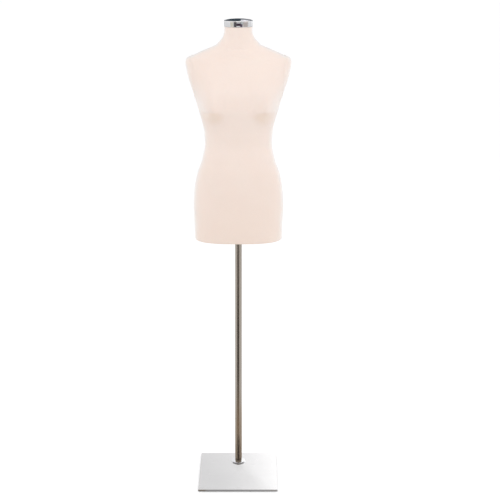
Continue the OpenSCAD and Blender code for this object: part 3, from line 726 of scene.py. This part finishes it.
def waves(seed, n, lo_w, hi_w):
    """A seeded sum of plane waves over (round, up) tape lengths in mm: gentle unevenness of hand-fitted cloth."""
    rng = np.random.default_rng(seed)
    ks = []
    for _ in range(n):
        k = max(1, round(GIRTH / rng.uniform(lo_w, hi_w)))
        ks.append((2 * np.pi * k * rng.choice([-1, 1]), 2 * np.pi / rng.uniform(lo_w, hi_w) * rng.choice([-1, 1]), rng.uniform(0, 6.28), rng.uniform(0.5, 1)))
    norm = sum(k[3] for k in ks) ** 0.5

    def f(sh, mer):
        return sum(a * np.sin(kx * sh[None, :] + ky * mer[:, None] + ph) for kx, ky, ph, a in ks) / norm
    return f


sway = waves(3, 9, 60, 150)
ripple = waves(11, 14, 14, 34)


def relief(g, sh, lv, mer, detail=True):
    """How far the cover's face stands off the body's surface, in mm along its normal."""
    d = resample(cloth, sh, lv) - INSET
    oval = arm_oval(g)
    back = np.minimum(sh, 1 - sh)[None, :] * GIRTH + 0 * lv[:, None]
    d = d + 0.16 * sway(sh, mer) + 0.05 * ripple(sh, mer)
    # pucker beside each sewn line, and the sewn groove itself
    up = mer[:, None] + 0 * sh[None, :]
    turn = np.arctan2(g[..., 2] - 579.0, g[..., 1] - 4.0) * 70.0
    for dist, along in ((back, up), (np.abs(oval), turn)):
        wob = np.sin(along / 2.9 + 1.3 * np.sin(along / 17.0)) * (0.6 + 0.4 * np.sin(along / 31.0))
        d = d + 0.22 * wob * np.exp(-((dist - 3.4) / 3.6) ** 2)
        d = d + 0.30 * np.exp(-((dist - 3.6) / 2.6) ** 2)
        d = d - 0.55 * np.exp(-(dist / 1.25) ** 2)
    # the turned-in hem: a soft roll, then the edge of the turning shows faintly through
    d = d + 0.35 * np.exp(-((mer - 7.0) / 7.0) ** 2)[:, None] - 0.22 * np.exp(-((mer - 26.0) / 2.2) ** 2)[:, None]
    return np.clip(d, -1.9, 1.3)


sh, lv, mer, grid, nrm = build_grid(300, 2.6, 4.0)
disp = relief(grid, sh, lv, mer)
nc = len(sh)

# Hem: the face rolls round the rim and runs up inside as a lip; neck: the cloth is gathered over the block.
outer_rows = grid + nrm * disp[..., None]
low_ring = ring_points(0.0, sh)
low_n = grid_normals(np.stack([low_ring, ring_points(0.5, sh), ring_points(1.0, sh)]))[0]
d0 = disp[0]


def hem_row(depth, z, keep=0.0):
    base = ring_points(max(z, 0.0), sh)
    return np.concatenate([base[:, :2] - low_n[:, :2] * (depth - keep * d0)[:, None] if hasattr(depth, "__len__")
                           else base[:, :2] - low_n[:, :2] * (depth - keep * d0[:, None]), np.full((nc, 1), z)], 1)


hem_out = [hem_row(0.05, 2.2, 0.9), hem_row(0.55, 0.9, 0.7), hem_row(1.5, 0.15, 0.4), hem_row(3.0, 0.0), hem_row(5.5, 0.0),
           hem_row(8.2, 0.05), hem_row(9.1, 0.45), hem_row(9.5, 1.4), hem_row(9.5, 5.0), hem_row(9.5, 10.0), hem_row(9.5, 16.0), hem_row(9.5, 21.0),
           hem_row(9.5, 24.2), hem_row(9.2, 25.0), hem_row(8.75, 25.0), hem_row(8.5, 24.2), hem_row(8.5, 16.0), hem_row(8.5, 8.0), hem_row(8.5, 2.6),
           hem_row(8.1, 1.5), hem_row(6.5, 1.2), hem_row(3.4, 1.2), hem_row(2.6, 1.8)]
outer_rows_list = [r for r in outer_rows]
in_sh, in_lv, in_mer = sh, None, None
inner_z, inner_q = level_list(11.0, 4.0)
inner_grid = np.array([ring_points(z, sh) for z in inner_z])
inner_n = grid_normals(inner_grid)
inner_d = blur(relief(inner_grid, sh, inner_z, inner_q), 2) - 0.9
inner_rows = inner_grid + inner_n * np.minimum(inner_d, -0.9)[..., None]

neck_c = np.array([0.0, NECK_Y])
ang = np.arctan2(outer_rows[-1][:, 1] - neck_c[1], outer_rows[-1][:, 0])
gather = np.sin(17 * ang + 0.8 * np.sin(3 * ang)) * 0.6 + 0.4 * np.sin(29 * ang + 1.1)


def neck_row(r, z, amp=0.0):
    rr = r + 0 * ang
    return np.stack([rr * np.cos(ang), neck_c[1] + rr * np.sin(ang), z + amp * gather], -1)


r_top = NECK / 2
neck_out = [neck_row(r_top - 0.05, TOP - 1.9), neck_row(r_top - 0.45, TOP - 1.0), neck_row(r_top - 1.3, TOP - 0.55), neck_row(r_top - 3.0, TOP - 0.45),
            neck_row(r_top - 5.0, TOP - 0.5, 0.04), neck_row(r_top - 7.5, TOP - 0.75, 0.12), neck_row(r_top - 10.5, TOP - 0.95, 0.22),
            neck_row(38.0, TOP - 1.1, 0.3), neck_row(33.0, TOP - 1.1, 0.36), neck_row(28.0, TOP - 1.05, 0.42), neck_row(23.5, TOP - 1.0, 0.46),
            neck_row(20.0, TOP - 1.05, 0.46), neck_row(17.6, TOP - 1.25, 0.3), neck_row(17.0, TOP - 1.6, 0.1), neck_row(17.4, TOP - 1.95),
            neck_row(24.0, TOP - 1.97), neck_row(34.0, TOP - 1.97), neck_row(44.0, TOP - 1.97), neck_row(r_top - 3.6, TOP - 2.0), neck_row(r_top - 2.4, TOP - 3.0)]

keep_out = [i for i, z in enumerate(lv) if z < TOP - 3.0]
keep_in = [i for i, z in enumerate(inner_z) if 6.0 < z < TOP - 6.0]
loop = ([outer_rows[i] for i in keep_out] + neck_out + [inner_rows[i] for i in reversed(keep_in)] + list(reversed(hem_out)))
loop = np.array(loop)
verts = loop.reshape(-1, 3).copy()
verts[:, 2] += HEM_MM
nloop = len(loop)
cover = make_mesh("jersey_cover_soft", verts * MM, loop_faces(nloop, nc, True), M["ivory_jersey"])

# Flat pattern of the knit: real lengths round and up the body, so stitches keep their size.
uv = cover.data.uv_layers.new(name="cloth")
row_v = np.concatenate([[0], np.cumsum(np.median(np.linalg.norm(np.diff(loop, axis=0), axis=2), axis=1))])
u = sh * GIRTH * MM
li = np.empty(len(cover.data.loops), np.int64)
cover.data.loops.foreach_get("vertex_index", li)
uvs = np.stack([u[li % nc], row_v[li // nc] * MM], -1)
poly = np.arange(len(li)) // 4
wrapcol = (li % nc == 0) & (poly % nc == nc - 1)
uvs[wrapcol, 0] = GIRTH * MM
wraprow = (li // nc == 0) & (poly // nc == nloop - 1)
uvs[wraprow, 1] = (row_v[-1] + 2.0) * MM
uv.data.foreach_set("uv", uvs.astype(np.float32).ravel())
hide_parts("jersey_cover")
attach(cover, "torso")

# Neck cap: spun sheet with a rolled bead and a slightly barrelled band.
cap_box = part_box("neck_cap")
NECK_Z = cap_box[0].z / MM - 0.1
cap_r = 50.5
edge_r, edge_z, apex = 49.5, 22.2, 27.5


def dome_z(r, drop=0.0):
    """Flat-topped dome that turns down a little faster towards the bead."""
    return apex - drop - (apex - edge_z) * (r / edge_r) ** 2.9


prof = [(0.0, dome_z(0))] + [(r, dome_z(r)) for r in (3, 7, 11, 15, 19, 23, 27, 30, 33, 36, 38.5, 41, 43, 45, 46.5, 47.8, 48.8)]
bead_c, bead_r = (50.75, 20.65), 1.35
for a in np.linspace(112, -62, 15):
    prof.append((bead_c[0] + bead_r * math.cos(math.radians(a)), bead_c[1] + bead_r * math.sin(math.radians(a)) + 0.12))
for z in np.linspace(18.7, 0.75, 16):
    prof.append((cap_r - 0.12 + 0.5 * (1 - ((z - 9.6) / 9.4) ** 2), z))
prof += [(cap_r - 0.16, 0.4), (cap_r - 0.32, 0.18), (cap_r - 0.6, 0.1), (cap_r - 0.95, 0.16), (cap_r - 1.15, 0.4), (cap_r - 1.2, 1.0), (cap_r - 1.2, 10.0),
         (cap_r - 1.2, 18.0), (cap_r - 1.7, 19.6), (cap_r - 3.2, 20.6)]
prof += [(r, dome_z(r, 1.2)) for r in (44, 36, 26, 14, 5)] + [(0.0, dome_z(0, 1.2))]
cap_obj = lathe("neck_cap_spun", [(r * MM, (NECK_Z + z) * MM) for r, z in prof], M["chrome"], centre=(0, NECK_Y * MM), segs=192, closed=False)
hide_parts("neck_cap")
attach(cap_obj, "cap")

# Padding under the cover: the same swell, a finger's breadth of foam, hidden unless the cover is taken off.
f_sh = column_shares(110)
f_lv, f_mer = level_list(11.0, 5.0)
f_lv, f_mer = f_lv[f_lv < TOP - 5], f_mer[f_lv < TOP - 5]
f_grid = np.array([ring_points(z, f_sh) for z in f_lv])
f_n = grid_normals(f_grid)
f_d = np.minimum(blur(relief(f_grid, f_sh, f_lv, f_mer), 3) - 1.6, -1.6)
f_loop = np.concatenate([f_grid + f_n * f_d[..., None], (f_grid - f_n * 4.3)[::-1]])
f_verts = f_loop.reshape(-1, 3).copy()
f_verts[:, 2] += HEM_MM
foam = make_mesh("foam_padding_soft", f_verts * MM, loop_faces(len(f_loop), len(f_sh), True), M["foam"])
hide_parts("foam_padding")
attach(foam, "torso")

# Twill tape round the inside of the hem, a little wavy, with a raised edge on each side.
tape_prof = [(9.62, 12.6), (9.62, 14.0), (9.62, 21.0), (9.62, 28.0), (9.62, 29.4), (9.85, 29.9), (10.35, 29.9), (10.55, 29.2), (10.42, 28.0),
             (10.25, 24.5), (10.22, 21.0), (10.25, 17.5), (10.42, 14.0), (10.55, 12.9), (10.35, 12.1), (9.85, 12.1)]
t_rows = []
for depth, z in tape_prof:
    wav = 0.10 * np.sin(sh * 2 * np.pi * 37) + 0.06 * np.sin(sh * 2 * np.pi * 61 + 1)
    row = hem_row(depth, z)
    if depth > 10:
        row[:, :2] -= low_n[:, :2] * (wav + 0.1)[:, None]
    t_rows.append(row)
t_verts = np.array(t_rows).reshape(-1, 3)
t_verts[:, 2] += HEM_MM
tape = make_mesh("hem_tape_soft", t_verts * MM, loop_faces(len(t_rows), nc, True), M["cotton_tape"])
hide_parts("hem_tape")
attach(tape, "torso")


# Stitches: short threads laid over the sewn lines and along the tape.
def threads(name, centres, dirs, ups, length, radius, material, seg=6):
    verts, faces = [], []
    prof = [(-0.5, 0.35), (-0.42, 0.8), (-0.2, 1.0), (0.2, 1.0), (0.42, 0.8), (0.5, 0.35)]
    for c, d, n in zip(centres, dirs, ups):
        d = d / np.linalg.norm(d)
        n = n - d * np.dot(n, d)
        n /= np.linalg.norm(n)
        b = np.cross(d, n)
        base = len(verts)
        for t, k in prof:
            sag = 0.35 * radius * (1 - (2 * t) ** 2)
            for q in range(seg):
                a = 2 * np.pi * q / seg
                verts.append(c + d * t * length + n * (sag + radius * k * np.sin(a)) + b * radius * k * np.cos(a))
        m = len(prof)
        for i in range(m - 1):
            for q in range(seg):
                r = (q + 1) % seg
                faces.append((base + i * seg + q, base + i * seg + r, base + (i + 1) * seg + r, base + (i + 1) * seg + q))
        faces.append(tuple(base + q for q in reversed(range(seg))))
        faces.append(tuple(base + (m - 1) * seg + q for q in range(seg)))
    v = np.array(verts)
    v[:, 2] += HEM_MM
    ob = make_mesh(name, v * MM, faces, material)
    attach(ob, "torso")
    return ob


c, d, n = [], [], []
m_at = np.arange(9.0, mer[keep_out[-1]] - 5, 5.2)
for i, m in enumerate(m_at):
    z = float(np.interp(m, mer, lv))
    k = int(np.argmin(np.abs(lv - z)))
    p0 = outer_rows[k][0]
    nn = nrm[k][0]
    side = np.array([1.0, 0.0, 0.0])
    upv = outer_rows[min(k + 1, len(lv) - 1)][0] - outer_rows[max(k - 1, 0)][0]
    upv /= np.linalg.norm(upv)
    c.append(p0 + nn * 0.42)
    d.append(side + upv * 0.35 * (1 if i % 2 else -1))
    n.append(nn)
threads("back_seam_stitches", c, d, n, 3.4, 0.28, M["ivory_jersey_thread"])

# The arm ovals: the sewn line is traced on the grid at even steps of turn.
c, d, n = [], [], []
for sx in (1, -1):
    pts = []
    for t in np.linspace(0, 2 * np.pi, 361)[:-1]:
        m = 2.3
        cy, cz = math.cos(t), math.sin(t)
        y = 4.0 + 63.0 * math.copysign(abs(cy) ** (2 / m), cy)
        z = 579.0 + 76.0 * math.copysign(abs(cz) ** (2 / m), cz)
        k = np.interp(z, lv, np.arange(len(lv)))
        k0 = int(min(len(lv) - 2, math.floor(k)))
        f = k - k0
        row = outer_rows[k0] * (1 - f) + outer_rows[k0 + 1] * f
        nr_ = nrm[k0] * (1 - f) + nrm[k0 + 1] * f
        sel = row[:, 0] * sx > 60
        idx = np.nonzero(sel)[0]
        j = idx[np.argsort(row[idx, 1])]
        yy = row[j, 1]
        if y < yy[0] or y > yy[-1]:
            continue
        pts.append((np.array([np.interp(y, yy, row[j, 0]), y, z]), np.array([np.interp(y, yy, nr_[j, q]) for q in range(3)])))
    pos = np.array([p for p, _ in pts])
    nor = np.array([q for _, q in pts])
    seglen = np.linalg.norm(np.roll(pos, -1, 0) - pos, axis=1)
    s = np.concatenate([[0], np.cumsum(seglen)])
    count = int(s[-1] / 5.2)
    for i in range(count):
        q = s[-1] * i / count
        k = int(np.searchsorted(s, q, side="right") - 1) % len(pos)
        tang = pos[(k + 1) % len(pos)] - pos[k - 1]
        tang /= np.linalg.norm(tang)
        nn = nor[k] / np.linalg.norm(nor[k])
        across = np.cross(nn, tang)
        c.append(pos[k] + nn * 0.42)
        d.append(across + tang * 0.35 * (1 if i % 2 else -1))
        n.append(nn)
threads("arm_seam_stitches", c, d, n, 3.4, 0.28, M["ivory_jersey_thread"])

# Two rows of running stitch hold the tape to the lip.
c, d, n = [], [], []
for z in (14.6, 27.4):
    ring = hem_row(10.52, z)
    q = np.concatenate([[0], np.cumsum(np.linalg.norm(np.diff(ring, axis=0), axis=1))])
    for i in range(int(q[-1] / 4.4)):
        s0 = i * 4.4
        k = int(np.searchsorted(q, s0, side="right") - 1)
        tang = ring[(k + 1) % nc] - ring[k]
        nn = -low_n[k]
        nn[2] = 0
        c.append(np.array([np.interp(s0, q, ring[:, 0]), np.interp(s0, q, ring[:, 1]), z]) + nn * 0.12)
        d.append(tang)
        n.append(nn)
threads("hem_tape_stitches", c, d, n, 2.9, 0.22, M["ivory_jersey_thread"])

# ------------------------------------------------------------------ camera
cam_data = bpy.data.cameras.new("camera")
cam = link(bpy.data.objects.new("camera", cam_data))
CAM = (0.0414, -3.970, 1.875)
cam.location = CAM
cam.rotation_euler = (math.radians(90), 0, 0)
cam_data.sensor_width = 36.0
cam_data.lens = 1107.0 * 36.0 / 500.0
cam_data.clip_end = 60.0
fc = cam_data.driver_add("shift_y")
fc.driver.type = "SCRIPTED"
for axis, var in (("LOC_X", "px"), ("LOC_Y", "py"), ("LOC_Z", "pz")):
    v = fc.driver.variables.new()
    v.name = var
    v.type = "TRANSFORMS"
    v.targets[0].id = cam
    v.targets[0].transform_type = axis
    v.targets[0].transform_space = "WORLD_SPACE"
fc.driver.expression = "-0.62 if abs(px - 0.0414) + abs(py + 3.97) + abs(pz - 1.875) < 0.002 else 0.0"
scene.camera = cam

# ------------------------------------------------------------------ stage and light
def light_path(tree_nodes, nt, output):
    n = tree_nodes.new("ShaderNodeLightPath")
    return n.outputs[output]


world = bpy.data.worlds.new("studio")
scene.world = world
world.use_nodes = True
wn = world.node_tree
wn.nodes.clear()
w_out = wn.nodes.new("ShaderNodeOutputWorld")
w_mix = wn.nodes.new("ShaderNodeMixShader")
w_cam = wn.nodes.new("ShaderNodeBackground")
w_cam.inputs[0].default_value = (1, 1, 1, 1)
w_cam.inputs[1].default_value = 1.02
w_env = wn.nodes.new("ShaderNodeBackground")
w_geo = wn.nodes.new("ShaderNodeTexCoord")
w_sep = wn.nodes.new("ShaderNodeSeparateXYZ")
w_ramp = wn.nodes.new("ShaderNodeValToRGB")
wn.links.new(w_geo.outputs["Generated"], w_sep.inputs[0])
wn.links.new(w_sep.outputs[2], w_ramp.inputs[0])
w_ramp.color_ramp.elements[0].position = 0.0
w_ramp.color_ramp.elements[0].color = (0.78, 0.78, 0.79, 1)
w_ramp.color_ramp.elements[1].position = 0.9
w_ramp.color_ramp.elements[1].color = (0.95, 0.95, 0.96, 1)
wn.links.new(w_ramp.outputs[0], w_env.inputs[0])
w_env.inputs[1].default_value = 0.98
wn.links.new(light_path(wn.nodes, wn, "Is Camera Ray"), w_mix.inputs[0])
wn.links.new(w_env.outputs[0], w_mix.inputs[1])
wn.links.new(w_cam.outputs[0], w_mix.inputs[2])
wn.links.new(w_mix.outputs[0], w_out.inputs[0])


def area(name, loc, target, size, power, color=(1, 1, 1)):
    data = bpy.data.lights.new(name, "AREA")
    data.shape = "RECTANGLE"
    data.size, data.size_y = size
    data.energy = power
    data.color = color
    ob = link(bpy.data.objects.new(name, data))
    ob.location = loc
    ob.rotation_euler = (Vector(target) - Vector(loc)).to_track_quat("-Z", "Y").to_euler()
    return ob


area("key_softbox", (0.3, -2.6, 3.9), (0, 0, 1.2), (2.4, 1.8), 33)
area("side_softbox_left", (-3.2, 0.9, 1.6), (0, 0, 1.1), (1.2, 2.6), 11).visible_glossy = False
area("side_softbox_right", (3.2, 0.9, 1.6), (0, 0, 1.1), (1.2, 2.6), 11).visible_glossy = False

# Pale floor: it also glows a little, so that it stays as pale as the backdrop and keeps only contact shadows.
floor = make_mesh("floor", [(-70, -70, 0), (70, -70, 0), (70, 70, 0), (-70, 70, 0)], [(0, 1, 2, 3)], None, smooth=False)
tf = Tree("pale_floor")
grainy = tf.noise(tf.coord(), 3.0, 4, 0.5)
tf.set(Base_Color=tf.mix(tf.range(grainy, 0.3, 0.7, 0, 1), (0.80, 0.80, 0.80), (0.815, 0.815, 0.812)), Roughness=0.9)
tf.bsdf.inputs["Specular IOR Level"].default_value = 0.1
cam_ray = light_path(tf.nt.nodes, tf.nt, "Is Camera Ray")
soft_ray = light_path(tf.nt.nodes, tf.nt, "Is Diffuse Ray")
tf.set(Emission_Color=(1, 1, 1), Emission_Strength=tf.math("ADD", tf.math("MULTIPLY", cam_ray, 0.30), tf.math("MULTIPLY", soft_ray, 0.16)))
floor.data.materials.append(tf.mat)


def card(name, verts, faces, shade, strength, alpha=None):
    """A reflector or flag that only shows in shiny surfaces."""
    ob = make_mesh(name, verts, faces, None, smooth=False)
    t = Tree(name)
    em = t.nt.nodes.new("ShaderNodeEmission")
    em.inputs[0].default_value = (*shade, 1)
    em.inputs[1].default_value = strength
    if alpha is None:
        t.nt.links.new(em.outputs[0], t.out.inputs[0])
    else:
        tr = t.nt.nodes.new("ShaderNodeBsdfTransparent")
        mx = t.nt.nodes.new("ShaderNodeMixShader")
        t.nt.links.new(alpha(t), mx.inputs[0])
        t.nt.links.new(tr.outputs[0], mx.inputs[1])
        t.nt.links.new(em.outputs[0], mx.inputs[2])
        t.nt.links.new(mx.outputs[0], t.out.inputs[0])
    ob.data.materials.append(t.mat)
    ob.visible_camera = False
    ob.visible_diffuse = False
    ob.visible_shadow = False
    ob.visible_transmission = False
    ob.visible_volume_scatter = False
    return ob


def soft_sector(t, a0, a1, edge):
    """1 between bearings a0 and a1 (degrees from straight ahead, right is positive), soft over edge degrees."""
    x, y, _ = t.sep(t.coord())
    if a0 + a1 > 180:
        bearing = t.math("ADD", t.math("MULTIPLY", t.math("ARCTAN2", t.math("MULTIPLY", x, -1.0), y), 180 / math.pi), 180)
    else:
        bearing = t.math("MULTIPLY", t.math("ARCTAN2", x, t.math("MULTIPLY", y, -1.0)), 180 / math.pi)
    lo_ = t.range(bearing, a0 - edge, a0 + edge, 0, 1)
    hi_ = t.range(bearing, a1 - edge, a1 + edge, 1, 0)
    return t.math("MULTIPLY", lo_, hi_)


def arc_card(name, radius, a0, a1, z0, z1, shade, strength, edge=2.0, zedge=0.0):
    """Part of an upright ring round the pole, in front when the bearing is 0."""
    n = 24
    verts, faces = [], []
    for i in range(n + 1):
        b = math.radians(a0 - edge + (a1 - a0 + 2 * edge) * i / n)
        for z in (z0 - zedge, z1 + zedge):
            verts.append((radius * math.sin(b), -radius * math.cos(b), z))
    for i in range(n):
        faces.append((2 * i, 2 * i + 2, 2 * i + 3, 2 * i + 1))

    def alpha(t):
        k = soft_sector(t, a0, a1, edge)
        if zedge:
            z = t.sep(t.coord())[2]
            k = t.math("MULTIPLY", k, t.range(z, z0 - zedge, z0 + zedge, 0, 1))
            k = t.math("MULTIPLY", k, t.range(z, z1 - zedge, z1 + zedge, 1, 0))
        return k
    return card(name, verts, faces, shade, strength, alpha)


def one_sided(t, k):
    back = t.nt.nodes.new("ShaderNodeNewGeometry").outputs["Backfacing"]
    return t.math("MULTIPLY", k, t.math("SUBTRACT", 1.0, back))


def floor_fan(name, r0, r1, a0, a1, z, edge, stops):
    """A flag lying on the floor in front. stops: (distance in m, brightness) from the pole outwards."""
    n = 32
    verts, faces = [], []
    for i in range(n + 1):
        b = math.radians(a0 - edge + (a1 - a0 + 2 * edge) * i / n)
        for r in (r0, r1):
            verts.append((r * math.sin(b), -r * math.cos(b), z))
    for i in range(n):
        faces.append((2 * i, 2 * i + 1, 2 * i + 3, 2 * i + 2))
    ob = card(name, verts, faces, (1, 1, 1), 1.0, lambda t: one_sided(t, soft_sector(t, a0, a1, edge)))
    t = ob.data.materials[0].node_tree
    em = [q for q in t.nodes if q.type == "EMISSION"][0]
    tc = t.nodes.new("ShaderNodeTexCoord")
    ln = t.nodes.new("ShaderNodeVectorMath")
    ln.operation = "LENGTH"
    t.links.new(tc.outputs["Object"], ln.inputs[0])
    mr = t.nodes.new("ShaderNodeMapRange")
    mr.inputs[1].default_value, mr.inputs[2].default_value = 0.0, r1
    t.links.new(ln.outputs["Value"], mr.inputs[0])
    cr = t.nodes.new("ShaderNodeValToRGB")
    while len(cr.color_ramp.elements) < len(stops):
        cr.color_ramp.elements.new(0.5)
    for e, (r, v) in zip(cr.color_ramp.elements, stops):
        e.position = r / r1
        e.color = (v, v * 0.82, v * 0.66, 1)
    t.links.new(mr.outputs[0], cr.inputs[0])
    t.links.new(cr.outputs[0], em.inputs[0])
    if ob.data.polygons[0].normal.z < 0:
        ob.data.flip_normals()
    return ob


# The dark room in front, as the pole sees it low down: darkest a metre out, paler close in.
floor_fan("flag_floor_front", 0.24, 3.7, -44, 25, 0.004, 12, [(0.0, 0.62), (0.30, 0.55), (0.42, 0.42), (0.60, 0.26), (0.78, 0.048), (1.35, 0.055),
                                                        (1.75, 0.12), (3.7, 0.12)])
floor_fan("flag_plate", 0.026, 0.20, -7, 21, 0.0102, 7, [(0.0, 0.02), (0.12, 0.025), (0.20, 0.10)])
floor_fan("flag_ring_side", 0.0247, 0.033, -84, 84, 0.0101, 8, [(0.0, 0.05), (0.033, 0.12)])
floor_fan("flag_floor_right", 0.02, 0.46, 98, 168, 0.0103, 10, [(0.0, 0.55), (0.34, 0.58), (0.46, 0.85)])
# A dark wall close behind the neck, which the cap's domed top mirrors, with one small bright pane in it.
arc_card("flag_behind_cap", 0.90, 158, 202, 1.44, 2.35, (0.05, 0.065, 0.08), 1.0, 3, 0.05)
pane = [(0.018, 0.80, 1.865), (0.122, 0.80, 1.83), (0.118, 0.80, 2.12), (0.026, 0.80, 2.14)]
card("pane_behind_cap", pane, [(0, 1, 2, 3)], (0.94, 0.92, 0.96), 1.0)
# The ring at the pole's foot mirrors the pole from close by; the plate further out does not.
stub = [(0.0114 * math.cos(q * math.pi / 16), 0.0114 * math.sin(q * math.pi / 16), z) for z in (0.0082, 0.42) for q in range(32)]


def near_only(t):
    length = t.nt.nodes.new("ShaderNodeLightPath").outputs["Ray Length"]
    rise = t.math("MULTIPLY", t.sep(t.nt.nodes.new("ShaderNodeNewGeometry").outputs["Incoming"])[2], -1.0)
    steep = t.math("MULTIPLY", t.math("GREATER_THAN", rise, 0.60), t.math("LESS_THAN", length, 0.085))
    upright = t.math("MULTIPLY", t.math("GREATER_THAN", rise, 0.86), t.math("LESS_THAN", length, 0.40))
    return t.math("MAXIMUM", t.math("LESS_THAN", length, 0.024), t.math("MAXIMUM", steep, upright))


card("pole_seen_by_ring", stub, [(q, (q + 1) % 32, 32 + (q + 1) % 32, 32 + q) for q in range(32)], (0.17, 0.14, 0.11), 1.0, near_only)
# Its rounded front edge mirrors a dark lip close by, which only the ring itself can see.
lip, lip_faces = [], []
for i in range(25):
    b = math.radians(-70 + 140 * i / 24)
    lip += [(r * math.sin(b), -r * math.cos(b), z) for r, z in ((0.0347, 0.0104), (0.0347, 0.022), (0.0347, 0.034))]
for i in range(24):
    lip_faces += [(3 * i + k, 3 * i + 3 + k, 3 * i + 4 + k, 3 * i + 1 + k) for k in (0, 1)]


def from_inside(t):
    length = t.nt.nodes.new("ShaderNodeLightPath").outputs["Ray Length"]
    x, y, _ = t.sep(t.nt.nodes.new("ShaderNodeNewGeometry").outputs["Incoming"])
    px, py, _ = t.sep(t.coord())
    inward = t.math("ADD", t.math("MULTIPLY", x, px), t.math("MULTIPLY", y, py))
    return t.math("MULTIPLY", t.math("LESS_THAN", inward, 0.0), t.math("LESS_THAN", length, 0.0222))


card("lip_seen_by_ring", lip, lip_faces, (0.20, 0.19, 0.19), 1.0, from_inside)
# What the cap's band mirrors from the front.
arc_card("flag_cap_left", 2.6, -38, -15, 0.62, 2.2, (0.075, 0.07, 0.075), 1.0, 5, 0.1)
arc_card("flag_cap_mid", 2.5, -17, 19, 1.10, 1.68, (0.05, 0.035, 0.05), 1.0, 4, 0.08)
arc_card("flag_cap_low", 2.55, 14, 33, 0.62, 1.52, (0.09, 0.06, 0.09), 1.0, 4, 0.10)
arc_card("flag_cap_high", 2.56, 14, 40, 1.50, 2.2, (0.42, 0.45, 0.45), 1.0, 4, 0.10)
arc_card("flag_cap_right", 2.7, 36, 84, 0.7, 2.2, (0.46, 0.41, 0.39), 1.0, 7, 0.1)
arc_card("flag_cap_far_left", 2.8, -68, -42, 0.7, 2.2, (0.62, 0.585, 0.51), 1.0, 4, 0.1)
# A pale reflector behind on the right brightens the near right corner of the base plate.
arc_card("reflector_back_right", 3.9, 138, 176.5, 1.2, 3.4, (1, 1, 1), 1.35, 3.5, 0.3)
for hidden in ("pole_tube", "pole_foot_plug", "pole_bolt"):
    nodes[hidden].visible_glossy = False

scene.view_settings.view_transform = "Standard"
scene.view_settings.look = "None"
